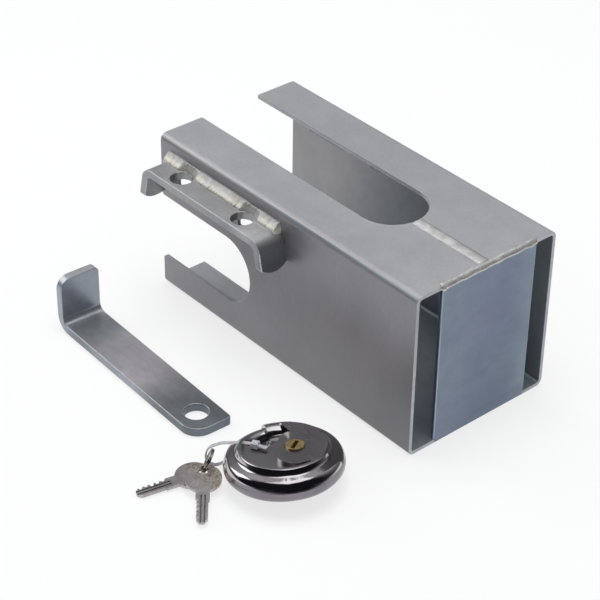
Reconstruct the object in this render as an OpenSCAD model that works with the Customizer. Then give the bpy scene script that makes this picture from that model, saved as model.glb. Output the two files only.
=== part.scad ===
// Lock box for a trailer coupler: a welded steel box with a guard bracket,
// a sliding locking bar and a round disc padlock with its keys.
// Frame: +X along the box towards its closed end, +Y towards the plain wall, +Z up.
// The origin lies on the box's underside, on its centre line.

/* [Box] */
// Length of the box
box_len = 231.4; // [215:1:260]
// Width over both side walls
box_w = 110; // [104:1:120]
// Height over the top and the bottom
box_h = 111; // [108:1:120]
// Sheet thickness
sheet = 2.5; // [2:0.5:3]
// Outside radius of the folded edges
fold_r = 4.6; // [4:0.2:6]
// Distance from the origin to the open end
open_end = 202; // [195:1:210]

/* [Slots] */
// Width of the slots in the top and the bottom
neck_w = 44.7; // [40:0.5:50]
// Length of the top slot from the open end to its round end
neck_len = 173; // [150:1:180]
// Length of the bottom slot from the open end to its round end
low_len = 150; // [120:1:160]
// Height of the slot in the near wall
side_h = 45.8; // [40:0.5:48]
// Length of the slot in the near wall
side_len = 86.8; // [70:1:95]
// Height of the side slot's centre line
side_z = 44.6; // [42:0.5:46]
// Bevel on the open corners of the side slot
corner_cut = 1; // [1:0.5:4]

/* [Bar windows] */
// Centre of the first window from the open end
win_1 = 33; // [30:0.5:36]
// Centre of the second window from the open end
win_2 = 91.7; // [89:0.5:94]
// Width of a window
win_w = 32; // [30:0.5:34]
// Underside of a window
win_z = 81.5; // [80:0.5:84]

/* [End plate] */
// Width of the end plate
plate_w = 74.3; // [60:1:90]
// Thickness of the end plate
plate_t = 3; // [2.5:0.5:4]
// Sideways offset of the end plate
plate_off = 2; // [-4:1:4]

/* [Guard bracket] */
// Width of the bracket's strip, out from the wall
guard_w = 19.4; // [18:0.2:22]
// Thickness of the strip
guard_t = 5.4; // [4:0.1:6]
// Height of the strip's top face
guard_z = 98; // [96:0.5:100]
// Outer radius of the strip's bends
guard_r = 9.4; // [8:0.2:11]
// Where the first bend begins to turn outward, from the open end
guard_x1 = 5.5; // [4:0.5:8]
// Where the second bend ends, from the open end
guard_x2 = 119.8; // [116:0.5:122]
// Outward lean of the two tabs, in degrees
tab_lean = 11.5; // [6:0.5:16]
// Radius of the tabs' round lower edges
tab_arc = 15.3; // [13:0.2:17]
// Radius of the two lock holes
lock_hole_r = 7.2; // [6.5:0.1:8]
// Leg length of the bracket's weld
bead = 5.2; // [4:0.2:6]

/* [Locking bar] */
// Length of the bar
bar_len = 144.5; // [136:0.5:150]
// Width of the bar
bar_w = 28.1; // [24:0.5:30]
// Thickness of the bar
bar_t = 5.7; // [4:0.1:7]
// Height of the upright leg
bar_leg = 37.5; // [30:0.5:45]
// Outer radius of the bend
bar_bend = 10.5; // [8:0.5:11]
// Large corner radius of the bar
bar_corner = 12; // [9:0.5:13]
// Large corner radius of the upright leg
leg_corner = 8.5; // [7:0.5:12]
// Radius of the hole for the padlock
bar_hole_r = 7.5; // [6.5:0.1:9]
// Distance of that hole from the leg's outer face
bar_hole_x = 128.1; // [124:0.5:130]
// Where the bar lies, along the box
bar_x = -203.5; // [-206:0.5:-190]
// Where the bar lies, across the box
bar_y = -108.6; // [-120:0.5:-100]
// Turn of the lying bar, in degrees
bar_turn = -2.2; // [-4:0.2:4]

/* [Padlock] */
// Radius of the padlock's rim
disc_r = 34.8; // [34.6:0.1:35]
// Thickness of the padlock
disc_h = 22.5; // [22:0.1:23]
// Tilt of the padlock, which rests on its sloping back
lock_tilt = 8.16; // [8:0.02:8.3]
// Direction of the padlock's raised side
tilt_dir = -12.27; // [-20:0.5:0]
// Where the padlock lies, along the box
lock_x = 0.61; // [-2:0.2:4]
// Where the padlock lies, across the box
lock_y = -123.38; // [-128:0.5:-118]
// Height of the padlock's middle above the ground
lock_z = 1.57; // [1.55:0.01:1.7]
// Radius of the shackle's centre line
shackle_r = 28.4; // [28:0.1:28.6]
// Diameter of the shackle rod
shackle_d = 9.8; // [9:0.2:9.8]
// Diameter of the key plug
plug_d = 11; // [10.6:0.1:11.4]
// Where the plug stands in the disc, along the box
plug_x = 5.2; // [4.9:0.1:5.5]
// Where the plug stands in the disc, across the box
plug_y = 4.2; // [3.9:0.1:4.5]

/* [Keys and ring] */
// Radius of a key's round head
bow_r = 10.6; // [10:0.1:11.5]
// Thickness of a key
key_t = 2.1; // [1.8:0.1:2.2]
// Length of a key's blade
blade_len = 21.4; // [20:0.2:27]
// Outside radius of the split ring
ring_r = 8.05; // [7.9:0.05:8.2]
// Wire diameter of the split ring
wire_d = 1.1; // [0.9:0.1:1.2]
// Width of the cable tie's strap
strap_w = 2.6; // [2.2:0.1:3]

/* [Hidden] */
e = 0.01;
close_x = box_len - open_end;
neck_r = neck_w / 2;
side_r = side_h / 2;
// clear height of a window, up to the bracket's underside
win_h = guard_z - guard_t - win_z;
// centre line of the bracket holes
guard_hole_y = -box_w / 2 - 9.3;
// middle height of the shackle
shackle_z = 12.5;
// parting height of the two lock shells
split_z = 12;
// angles of the shackle's ends when shut
shackle_a1 = 146;
shackle_a2 = 285;
// direction of the mouth's collar side
mouth_dir = 163;
// direction and heights of the pin stacks
pin_dir = -60;
pin_z = [7.5, 10.1, 12.7, 15.3];
// place of the ring and the keys on the ground
loose = [-5.2, -121, 0];
// route of the strap's centre: over the shackle, down to the ring and back below it
tie_route = [[-10.6, -10.5, 19.6], [-12.8, -11, 19.5], [-15.4, -11.9, 19], [-18.3, -13, 18.2],
    [-21.2, -14.4, 17.3], [-23.7, -15.5, 16.4], [-26.2, -17.3, 15.6], [-28.6, -20.1, 15.4],
    [-30, -23.5, 15.2], [-30.9, -27.4, 14.9], [-31.8, -29, 12.7], [-31.8, -30.1, 10.1],
    [-31, -30.3, 7.3], [-29.5, -29.1, 4.8], [-27.7, -26.6, 3.3], [-26.8, -22.8, 3.1],
    [-26.7, -19.6, 3.6], [-26.3, -17, 4.2], [-23.6, -15.2, 4.1], [-20.3, -13.5, 4.5],
    [-17, -12, 6.1], [-14.4, -10.7, 9.1], [-12.7, -10, 12.9], [-11.5, -9.9, 16.8],
    [-10.7, -10, 18.7]];
// centre of the split ring, and the direction and rise of its axis
ring_c = [-28.5, -31.4, 7.85];
ring_az = 40;
ring_rise = -22;

function unit(v) = v / norm(v);
function turn2(p, a) = [p[0] * cos(a) - p[1] * sin(a), p[0] * sin(a) + p[1] * cos(a)];

// closed or open tube through the points of a route; each ring is a flat oval
module sweep(route, wide, thick, side, sides, shut) {
    n = len(route);
    rings = [for (i = [0 : n - 1])
        let (before = route[shut ? (i + n - 1) % n : max(i - 1, 0)],
             after = route[shut ? (i + 1) % n : min(i + 1, n - 1)],
             along = unit(after - before),
             b = unit(side - (side * along) * along),
             u = cross(b, along))
        for (k = [0 : sides - 1])
            let (a = 360 * (k + 0.5) / sides)
            route[i] + b * cos(a) * wide / 2 + u * sin(a) * thick / 2];
    walls = [for (i = [0 : shut ? n - 1 : n - 2]) for (k = [0 : sides - 1])
        let (j = (i + 1) % n, m = (k + 1) % sides)
        for (half = [0, 1])
            half == 0 ? [i * sides + k, i * sides + m, j * sides + m]
                : [i * sides + k, j * sides + m, j * sides + k]];
    first = [for (k = [0 : sides - 1]) sides - 1 - k];
    last = [for (k = [0 : sides - 1]) (n - 1) * sides + k];
    polyhedron(points = rings, faces = shut ? walls : concat(walls, [first, last]),
        convexity = 6);
}

// rectangle with four round corners, drawn from true arcs
module round_rect(w, h, r) {
    square([w - 2 * r, h], center = true);
    square([w, h - 2 * r], center = true);
    for (sx = [-1, 1], sz = [-1, 1])
        translate([sx * (w / 2 - r), sz * (h / 2 - r)])
            circle(r = r, $fn = 48);
}

// flat sector between two directions
module sector(r, a1, a2) {
    steps = ceil((a2 - a1) / 30);
    polygon(concat([[0, 0]], [for (i = [0 : steps])
        let (a = a1 + (a2 - a1) * i / steps) [r * cos(a), r * sin(a)]]));
}

// prism along X whose outline is given as Y and Z
module along_x(len) {
    rotate([90, 0, 90])
        linear_extrude(len)
            children();
}

// prism along -Y whose outline is given as X and Z
module along_y(len) {
    rotate([90, 0, 0])
        linear_extrude(len)
            children();
}

module neck_slot(z, len) {
    translate([-open_end - 1, -neck_r, z])
        cube([len - neck_r + 1, neck_w, 3 * sheet]);
    translate([-open_end + len - neck_r, 0, z])
        cylinder(r = neck_r, h = 3 * sheet, $fn = 96);
}

module box_shell() {
    color([0.66, 0.67, 0.68])
    difference() {
        translate([-open_end, 0, box_h / 2])
            along_x(box_len)
                difference() {
                    round_rect(box_w, box_h, fold_r);
                    round_rect(box_w - 2 * sheet, box_h - 2 * sheet, fold_r - sheet);
                }
        neck_slot(box_h - 1.5 * sheet, neck_len);
        neck_slot(-1.5 * sheet, low_len);
        // slot in the near wall
        translate([-open_end - 1, -box_w / 2 - 1, side_z - side_r])
            cube([side_len - side_r + 1, sheet + 2, side_h]);
        translate([-open_end + side_len - side_r, -box_w / 2 + sheet + 1, side_z])
            rotate([90, 0, 0])
                cylinder(r = side_r, h = sheet + 2, $fn = 96);
        // bevels where the side slot meets the open end
        translate([-open_end, -box_w / 2 + sheet + 1, 0])
            along_y(sheet + 2)
                polygon([[-1, side_z - side_r - corner_cut - 1],
                    [corner_cut + 1.5, side_z - side_r + 0.5],
                    [corner_cut + 1.5, side_z + side_r - 0.5],
                    [-1, side_z + side_r + corner_cut + 1]]);
        // bevels where the top slot meets the open end
        translate([-open_end, 0, box_h - 1.5 * sheet])
            linear_extrude(3 * sheet)
                polygon([[-1, -neck_r - 1.8], [1.8, -neck_r + 1], [1.8, neck_r - 1],
                    [-1, neck_r + 1.8]]);
        // windows for the bar in both walls
        for (x = [win_1, win_2])
            for (y = [-box_w / 2 - 1, box_w / 2 - sheet - 1])
                translate([x - open_end - win_w / 2, y, win_z])
                    cube([win_w, sheet + 2, win_h]);
    }
}

module end_plate() {
    color([0.45, 0.5, 0.58])
    translate([close_x - plate_t, plate_off - plate_w / 2, sheet])
        cube([plate_t, plate_w, box_h - 2 * sheet]);
}

// points of an arc about c from one direction to another
function arc_points(c, r, a1, a2, steps) = [for (i = [0 : steps])
    let (a = a1 + (a2 - a1) * i / steps) [c[0] + r * cos(a), c[1] + r * sin(a)]];

// strip of the guard bracket seen from the near side, X and Z
module guard_profile() {
    a = 90 - tab_lean;
    r2 = guard_r - guard_t;
    zc = guard_z - guard_r;
    // centres of the two bends
    s1 = [guard_x1 - open_end + guard_r, zc];
    s2 = [guard_x2 - open_end - guard_r, zc];
    // how far the tabs run down past the bends
    d1 = 18 * [cos(180 + a), sin(180 + a)];
    d2 = 18 * [cos(-a), sin(-a)];
    o1 = arc_points(s1, guard_r, 90 + a, 90, 10);
    o2 = arc_points(s2, guard_r, 90, 90 - a, 10);
    i2 = arc_points(s2, r2, 90 - a, 90, 6);
    i1 = arc_points(s1, r2, 90, 90 + a, 6);
    polygon(concat([o1[0] + d1], o1, o2, [o2[10] + d2, i2[0] + d2], i2, i1, [i1[6] + d1]));
}

module guard_bracket() {
    color([0.68, 0.69, 0.7])
    difference() {
        translate([0, -box_w / 2, 0])
            along_y(guard_w)
                guard_profile();
        // round lower edges of the tabs
        for (t = [[-10, 89.4], [65, 91.4]])
            translate([t[0] - open_end, -box_w / 2 - guard_w / 2, t[1]])
                along_x(75)
                    polygon(concat([[-14, 6], [-14, -30], [14, -30], [14, 6]],
                        arc_points([0, 0], tab_arc, 360 - 40, 180 + 40, 20)));
        for (x = [win_1, win_2])
            translate([x - open_end, guard_hole_y, guard_z - guard_t - 1])
                cylinder(r = lock_hole_r, h = guard_t + 2, $fn = 72);
    }
}

module seam_weld() {
    color([0.78, 0.79, 0.8])
    intersection() {
        translate([-open_end + neck_len, -1.3, box_h - 9.4])
            along_x(box_len - neck_len - 1.6)
                circle(r = 10.3, $fn = 128);
        translate([-open_end, -7, box_h])
            cube([box_len, 12, 3]);
    }
}

// rounded bead over the edge where the end plate meets the sheet
module end_bead() {
    along = plate_w + 1;
    rotate([90, 0, 0])
        translate([0, 0, -along / 2])
            linear_extrude(along)
                difference() {
                    polygon([[-2.6, -0.2], [-1.8, 0.7], [0, 1], [0.7, 0.4], [1, -0.9],
                        [0.9, -3], [0.2, -4.4], [-0.4, -4.4], [-0.4, -0.2]]);
                    translate([-3, -6])
                        square([3, 6]);
                }
}

module end_weld_top() {
    color([0.74, 0.75, 0.75])
    translate([close_x, plate_off, box_h])
        end_bead();
}

module end_weld_bottom() {
    color([0.7, 0.71, 0.72])
    translate([close_x, plate_off, 0])
        mirror([0, 0, 1])
            end_bead_low();
}

// lower bead; it stays above the surface that the box stands on
module end_bead_low() {
    along = plate_w + 1;
    rotate([90, 0, 0])
        translate([0, 0, -along / 2])
            linear_extrude(along)
                polygon([[0, -0.2], [0.7, -0.6], [1, -1.6], [0.8, -3.2], [0.2, -4.2], [0, -4.2]]);
}

module bracket_weld() {
    color([0.76, 0.77, 0.77])
    difference() {
        translate([7.4 - open_end, -box_w / 2, guard_z])
            along_x(107.6)
                polygon([[0, 0], [-bead, 0], [-bead, 0.5], [-bead * 0.55, bead * 0.62],
                    [-0.6, bead], [0, bead]]);
        for (x = [win_1, win_2])
            translate([x - open_end, guard_hole_y, guard_z - 1])
                cylinder(r = lock_hole_r + 0.2, h = 12, $fn = 72);
    }
}

// corner left outside a rounded corner of radius r, as a prism to cut with
module corner_prism(r, h) {
    linear_extrude(h)
        difference() {
            translate([-e, -e])
                square([r + 1, r + 1]);
            translate([0, 0])
                circle(r = r, $fn = 64);
            translate([-r - 1, -r - 1])
                square([r + 1, 2 * r + 3]);
            translate([-r - 1, -r - 1])
                square([2 * r + 3, r + 1]);
        }
}

module bar_shape() {
    small = 2.5;
    difference() {
        along_y(bar_w)
            union() {
                translate([bar_bend, 0])
                    square([bar_len - bar_bend, bar_t]);
                translate([0, bar_bend])
                    square([bar_t, bar_leg - bar_bend]);
                translate([bar_bend, bar_bend])
                    intersection() {
                        difference() {
                            circle(r = bar_bend, $fn = 64);
                            circle(r = bar_bend - bar_t, $fn = 48);
                        }
                        translate([-2 * bar_bend, -2 * bar_bend])
                            square([2 * bar_bend, 2 * bar_bend]);
                    }
            }
        // end of the long arm
        translate([bar_len - bar_corner, -bar_w + bar_corner, -1])
            mirror([0, 1, 0])
                corner_prism(bar_corner, bar_t + 2);
        translate([bar_len - small, -small, -1])
            corner_prism(small, bar_t + 2);
        // top of the upright leg
        translate([-1, -bar_w + leg_corner, bar_leg - leg_corner])
            rotate([90, 0, 90])
                mirror([1, 0, 0])
                    corner_prism(leg_corner, bar_t + 2);
        translate([-1, -1.6 * small, bar_leg - 1.6 * small])
            rotate([90, 0, 90])
                corner_prism(1.6 * small, bar_t + 2);
        translate([bar_hole_x, -bar_w / 2, -1])
            cylinder(r = bar_hole_r, h = bar_t + 2, $fn = 72);
    }
}

module locking_bar() {
    color([0.6, 0.64, 0.67])
    translate([bar_x, bar_y, 0])
        rotate([0, 0, bar_turn])
            bar_shape();
}

// places the padlock's parts, drawn with the back's middle at the origin
module in_lock() {
    translate([lock_x, lock_y, lock_z])
        rotate(a = lock_tilt, v = [sin(tilt_dir), -cos(tilt_dir), 0])
            children();
}

// outline of the mouth that the shackle bridges
module mouth_2d() {
    polygon([60 * [cos(mouth_dir), sin(mouth_dir)], 19 * [cos(mouth_dir), sin(mouth_dir)],
        [-14.5, 7.4], [-11.5, 6.6], [-9.4, 3.8], [-8.6, -0.5], [-9, -5.2], [-11, -8.8],
        [-60, -29.6]]);
}

// sunken half of the front face: a swirl of two half circles
module dish_2d() {
    difference() {
        union() {
            intersection() {
                circle(r = 23.6, $fn = 96);
                translate([-30, -29.5])
                    square([60, 30]);
            }
            translate([-13.2, 0.5])
                circle(r = 12.4, $fn = 72);
            collar_2d();
        }
        translate([10.9, 0.5])
            circle(r = 11.7, $fn = 72);
    }
}

// deeper part of the swirl, where the collar stands out
module collar_2d() {
    polygon([[-13.2, 12.9], [-20, 14.4], [-26, 17.2], [-45, 26.2], [-45, 0], [-13.2, 0]]);
}

// bent rod of radius r along the shackle's circle
module channel(r, a1, a2) {
    translate([0, 0, shackle_z])
        rotate([0, 0, a1])
            rotate_extrude(angle = a2 - a1, $fn = 96)
                translate([shackle_r, 0])
                    circle(r = r, $fn = 48);
}

// full ring in which the shackle turns
module race() {
    translate([0, 0, shackle_z])
        rotate_extrude($fn = 96)
            translate([shackle_r, 0])
                circle(r = shackle_d / 2 + 0.3, $fn = 48);
}

module front_outer() {
    rotate_extrude($fn = 128)
        polygon([[0, split_z], [disc_r, split_z], [disc_r - 0.5, 14.2], [33.6, 15.6],
            [32.7, 17], [31.3, 18], [28.6, 18.6], [27.4, 19.3], [26.7, 20.4], [26.3, 21.6],
            [25.7, 22.3], [25, disc_h], [0, disc_h]]);
}

// outer surface of the collar round the shackle's free end
module collar_outer() {
    intersection() {
        channel(7.6, 132, 168);
        rotate_extrude($fn = 128)
            polygon([[0, split_z], [disc_r, split_z], [disc_r - 0.5, 14.2], [33.6, 15.8],
                [32.6, 17.6], [31, 19.2], [28.4, 20.2], [0, 20.2]]);
    }
}

// collar_2d with the thickness of its wall added
module collar_wall_2d() {
    polygon([[-11.4, 14.6], [-19.6, 16.2], [-25.3, 18.9], [-45, 28.2], [-45, -1], [-11.4, -1]]);
}

module lock_front_shell() {
    color([0.5, 0.5, 0.51])
    in_lock()
        difference() {
            union() {
                difference() {
                    front_outer();
                    // hollow inside, less the floor of the swirl's deep part
                    difference() {
                        rotate_extrude($fn = 128)
                            polygon([[0, split_z - 1], [33, split_z - 1], [33, split_z],
                                [32.9, 13.8], [32.5, 15], [31.8, 16.1], [30.8, 16.9],
                                [28.2, 17.4], [25, 17.6], [0, 17.6]]);
                        translate([0, 0, 13])
                            linear_extrude(10)
                                collar_wall_2d();
                    }
                    translate([0, 0, 19.5])
                        linear_extrude(5)
                            dish_2d();
                    translate([0, 0, 14.8])
                        linear_extrude(10)
                            collar_2d();
                }
                collar_outer();
            }
            translate([0, 0, -1])
                linear_extrude(40)
                    mouth_2d();
            race();
            translate([plug_x, plug_y, 0])
                cylinder(d = plug_d + 0.6, h = 40, $fn = 72);
        }
}

module rear_outer() {
    rotate_extrude($fn = 128)
        polygon([[0, 0], [11, 0], [27, 2.3], [32.8, 6], [34.5, 8.3], [disc_r + 0.1, 10.3],
            [disc_r, split_z], [0, split_z]]);
}

module lock_rear_shell() {
    color([0.48, 0.48, 0.5])
    in_lock()
        difference() {
            union() {
                difference() {
                    rear_outer();
                    rotate_extrude($fn = 128)
                        polygon([[0, 1.7], [10.9, 1.7], [26.4, 3.9], [31.2, 7.4], [32.7, 9.4],
                            [33, split_z], [33, split_z + 1], [0, split_z + 1]]);
                }
                intersection() {
                    channel(7.6, 132, 168);
                    rear_outer();
                }
            }
            translate([0, 0, -1])
                linear_extrude(40)
                    mouth_2d();
            race();
        }
}

module shackle_guide() {
    color([0.4, 0.4, 0.41])
    in_lock()
        difference() {
            rotate_extrude($fn = 128)
                polygon([[0, 2], [10.8, 2], [26.2, 4.2], [29.5, 6.5], [29.5, split_z],
                    [25, 17], [0, 17.3]]);
            race();
            channel(7.8, 130, 170);
            translate([0, 0, 12.8])
                linear_extrude(20)
                    polygon([[-11.2, 14.9], [-19.4, 16.5], [-25.1, 19.2], [-45, 28.5],
                        [-45, -1.2], [-11.2, -1.2]]);
            translate([0, 0, -1])
                linear_extrude(40)
                    mouth_2d();
            translate([0, 0, 1])
                linear_extrude(30)
                    translate([plug_x, plug_y]) {
                        circle(r = 8.5, $fn = 72);
                        rotate(pin_dir)
                            translate([0, -3.3])
                                square([14.7, 6.6]);
                    }
        }
}

// brass block that holds the plug and the pin stacks
module cylinder_housing() {
    color([0.7, 0.58, 0.3])
    in_lock()
        translate([plug_x, plug_y, 0])
            difference() {
                union() {
                    translate([0, 0, 6])
                        cylinder(r = 8.4, h = 11.3, $fn = 72);
                    rotate([0, 0, pin_dir])
                        translate([0, -3.2, 5.9])
                            cube([14.6, 6.4, 11.2]);
                }
                translate([0, 0, 1])
                    cylinder(r = plug_d / 2 + 0.05, h = 30, $fn = 72);
                for (z = pin_z)
                    translate([0, 0, z])
                        rotate([0, 90, pin_dir])
                            translate([0, 0, 4])
                                cylinder(r = 1.15, h = 9.8, $fn = 32);
            }
}

module driver_pins() {
    color([0.8, 0.8, 0.82])
    in_lock()
        for (z = pin_z)
            translate([plug_x, plug_y, z])
                rotate([0, 90, pin_dir])
                    translate([0, 0, 5.8])
                        cylinder(r = 1.1, h = 3.2, $fn = 32);
}

module pin_springs() {
    color([0.8, 0.8, 0.82])
    in_lock()
        for (z = pin_z)
            translate([plug_x, plug_y, z])
                rotate([0, 90, pin_dir])
                    translate([0, 0, 9.2])
                        sweep([for (i = [0 : 24])
                            [0.85 * cos(i * 60), 0.85 * sin(i * 60), 0.2 + i * 4.1 / 24]],
                            0.36, 0.36, [0, 0, 1], 5, false);
}

module cable_tie() {
    color([0.72, 0.72, 0.74])
    union() {
        translate(loose)
            sweep(tie_route, strap_w, 1.1, [0.62, -0.78, 0], 8, true);
        // head on the dish's floor, and the cut tail
        in_lock() {
            translate([-12.7, -10.1, 21.6])
                rotate([0, 0, 24])
                    cube([4.6, 4.6, 3.6], center = true);
            translate([-8.4, -8.6, 21.4])
                rotate([0, 4, 18])
                    cube([6.6, 2.6, 1.1], center = true);
        }
    }
}

module shackle() {
    color([0.7, 0.7, 0.72])
    in_lock()
        channel(shackle_d / 2, shackle_a1, shackle_a2);
}

module key_plug() {
    color([0.72, 0.55, 0.22])
    in_lock()
        translate([plug_x, plug_y, 0])
            difference() {
                translate([0, 0, 4.2])
                    cylinder(d = plug_d, h = 19.2, $fn = 72);
                // keyway
                rotate([0, 0, 120])
                    translate([-4.1, -1.15, 7])
                        cube([8.2, 2.3, 20]);
                for (z = pin_z)
                    translate([0, 0, z])
                        rotate([0, 90, pin_dir])
                            cylinder(r = 1.15, h = 10, $fn = 32);
                // groove for the clip
                translate([0, 0, 4.9])
                    difference() {
                        cylinder(r = 7, h = 0.8, $fn = 48);
                        translate([0, 0, -1])
                            cylinder(r = 4.7, h = 3, $fn = 48);
                    }
            }
}

module plug_pins() {
    color([0.75, 0.62, 0.3])
    in_lock()
        for (z = pin_z)
            translate([plug_x, plug_y, z])
                rotate([0, 90, pin_dir])
                    translate([0, 0, 4.3])
                        cylinder(r = 1.1, h = 1.1, $fn = 32);
}

module plug_driver() {
    color([0.6, 0.6, 0.62])
    in_lock()
        translate([plug_x, plug_y, 0])
            intersection() {
                translate([0, 0, 2.2])
                    cylinder(r = 5.4, h = 1.9, $fn = 64);
                translate([-6, -6, 0])
                    cube([9.4, 12, 10]);
            }
}

module retaining_clip() {
    color([0.7, 0.7, 0.72])
    in_lock()
        translate([plug_x, plug_y, 4.95])
            difference() {
                cylinder(r = 6.6, h = 0.7, $fn = 64);
                translate([0, 0, -1])
                    cylinder(r = 4.75, h = 3, $fn = 48);
                rotate([0, 0, 30])
                    translate([0, -2, -1])
                        cube([10, 4, 3]);
            }
}

module split_ring() {
    color([0.72, 0.72, 0.7])
    translate(loose)
        translate(ring_c)
            rotate([0, 0, ring_az])
                rotate([0, 90 - ring_rise, 0])
                    for (s = [-1, 1])
                        translate([0, 0, s * (wire_d / 2 - 0.02)])
                            rotate_extrude($fn = 96)
                                translate([ring_r - wire_d / 2, 0])
                                    circle(d = wire_d, $fn = 24);
}

// a key lying flat, blade along +X, the centre of its hole at the origin
module key_blank() {
    difference() {
        union() {
            translate([bow_r - 4.6, 0, 0])
                cylinder(r = bow_r, h = key_t, $fn = 96);
            translate([bow_r + 2, -4, 0])
                cube([11, 8, key_t]);
            translate([bow_r + 8, -3.3, 0])
                cube([blade_len - 2, 6.6, key_t]);
            translate([bow_r + 6 + blade_len - e, 0, 0])
                linear_extrude(key_t)
                    polygon([[0, -3.3], [0, 3.3], [2.4, 1.3], [2.4, -1.3]]);
        }
        translate([0, 0, -1])
            cylinder(r = 3.1, h = 5, $fn = 48);
        // bittings
        for (i = [0 : 4])
            translate([bow_r + 12.8 + i * 3.4, 3.6, -1])
                linear_extrude(5)
                    polygon([[-1.7, 0.4], [-0.5, -1.3 - (i % 3) * 0.5],
                        [0.5, -1.3 - (i % 3) * 0.5], [1.7, 0.4]]);
        // long grooves along the blade
        translate([bow_r + 9, -1.9, key_t - 0.5])
            cube([blade_len + 6, 0.9, 2]);
        translate([bow_r + 9, 0.3, key_t - 0.5])
            cube([blade_len + 6, 0.9, 2]);
    }
}

module key_1() {
    color([0.66, 0.63, 0.62])
    translate(loose)
        translate([-24.4, -37.6, 5.5])
            rotate([0, 0, -39.7])
                rotate([0, 5.4, 0])
                    mirror([0, 1, 0])
                        key_blank();
}

module key_2() {
    color([0.68, 0.65, 0.63])
    translate(loose)
        translate([-26.6, -36.3, 2.3])
            rotate([0, 0, -105.4])
                rotate([0, 3, 0])
                    mirror([0, 1, 0])
                        key_blank();
}

box_shell();
end_plate();
guard_bracket();
seam_weld();
end_weld_top();
end_weld_bottom();
bracket_weld();
locking_bar();
lock_front_shell();
lock_rear_shell();
shackle_guide();
cylinder_housing();
driver_pins();
pin_springs();
cable_tie();
shackle();
key_plug();
plug_pins();
plug_driver();
retaining_clip();
split_ring();
key_1();
key_2();
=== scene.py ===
import math
import bmesh
import bpy
from mathutils import Matrix, Vector, noise


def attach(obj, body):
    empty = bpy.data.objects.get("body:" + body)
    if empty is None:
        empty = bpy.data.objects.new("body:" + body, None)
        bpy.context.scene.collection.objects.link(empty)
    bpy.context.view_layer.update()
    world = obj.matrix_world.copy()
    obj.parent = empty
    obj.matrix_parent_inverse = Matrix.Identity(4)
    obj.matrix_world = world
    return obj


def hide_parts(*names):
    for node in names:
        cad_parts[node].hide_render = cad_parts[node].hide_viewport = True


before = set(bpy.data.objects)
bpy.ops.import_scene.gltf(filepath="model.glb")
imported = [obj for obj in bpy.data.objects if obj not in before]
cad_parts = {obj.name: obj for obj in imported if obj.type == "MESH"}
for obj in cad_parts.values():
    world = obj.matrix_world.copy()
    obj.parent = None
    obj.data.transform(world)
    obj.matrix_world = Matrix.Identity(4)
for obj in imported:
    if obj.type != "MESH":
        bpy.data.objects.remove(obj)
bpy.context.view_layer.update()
scene = bpy.context.scene
MM = 0.001                  # a millimetre, in the scene's metres
SAME_POINT = 0.004          # corners closer than this are one, in millimetres
NO_LENGTH = 0.002           # edges shorter than this are dropped, in millimetres
FLAT_ANGLE = 0.35           # faces within this many degrees are one flat face
FLAT_WEIGHT = 60            # how much the large faces rule the shading, of 100


# ---------------------------------------------------------------- mesh helpers

def at(*p):
    """A point given in millimetres."""
    return Vector(p) * MM


def smooth_step(t):
    t = min(max(t, 0.0), 1.0)
    return t * t * (3 - 2 * t)


def wobble(*p):
    """Even, repeatable unevenness between about -1 and 1."""
    return noise.noise(Vector(p))


def turned(degrees, axis):
    return Matrix.Rotation(math.radians(degrees), 4, axis)


def moved(*p):
    """A move by so many millimetres."""
    return Matrix.Translation(at(*p))


def placed(name, data):
    """A new object in the scene."""
    thing = bpy.data.objects.new(name, data)
    scene.collection.objects.link(thing)
    return thing


def mesh_object(name, bm, materials):
    """The working mesh as an object in the scene."""
    mesh = bpy.data.meshes.new(name)
    bm.to_mesh(mesh)
    bm.free()
    for m in materials:
        mesh.materials.append(m)
    return placed(name, mesh)


def finish_piece(name, bm, materials, body, nodes, crease=30.0, weighted=True):
    """Turns the working mesh into a shaded piece that rides on its body."""
    piece = mesh_object(name, bm, materials)
    piece.data.shade_smooth()
    piece.data.set_sharp_from_angle(angle=math.radians(crease))
    if weighted:
        even = piece.modifiers.new("even_shading", "WEIGHTED_NORMAL")
        even.keep_sharp = True
        even.weight = FLAT_WEIGHT
    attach(piece, body)
    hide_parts(*nodes)


def merged_copy(node):
    """The node's mesh with its loose triangles joined and its flat faces made whole."""
    bm = bmesh.new()
    bm.from_mesh(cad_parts[node].data)
    bmesh.ops.remove_doubles(bm, verts=bm.verts, dist=SAME_POINT * MM)
    bmesh.ops.dissolve_degenerate(bm, dist=NO_LENGTH * MM, edges=bm.edges)
    bmesh.ops.dissolve_limit(bm, angle_limit=math.radians(FLAT_ANGLE), verts=bm.verts,
                             edges=bm.edges)
    return bm


def break_edges(bm, width, angle, segments, keep=None, slot=-1):
    """Rounds the edges sharper than the angle by a width in millimetres. keep picks
    which of them; slot is the material slot of the new faces, -1 for their neighbours'."""
    sharp = [e for e in bm.edges if len(e.link_faces) == 2
             and e.calc_face_angle(0.0) > math.radians(angle)
             and (keep is None or keep(e))]
    bmesh.ops.bevel(bm, geom=sharp, offset=width * MM, offset_type="OFFSET",
                    affect="EDGES", segments=segments, profile=0.5, material=slot,
                    clamp_overlap=True, miter_outer="ARC", miter_inner="SHARP")


def ring_at(bm, place, sides, wide, thick):
    """One oval ring of edges, placed by a matrix whose Z runs along the sweep."""
    made = bmesh.ops.create_circle(bm, cap_ends=False, segments=sides, radius=1.0,
                                   matrix=place @ Matrix.Diagonal((wide, thick, 1, 1)))
    return list(dict.fromkeys(e for v in made["verts"] for e in v.link_edges))


def frame_from(point, along, side):
    """Matrix with Z along the sweep and X towards the side."""
    z = along.normalized()
    x = (side - side.dot(z) * z).normalized()
    y = z.cross(x)
    m = Matrix((x, y, z)).transposed().to_4x4()
    m.translation = point
    return m


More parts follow.
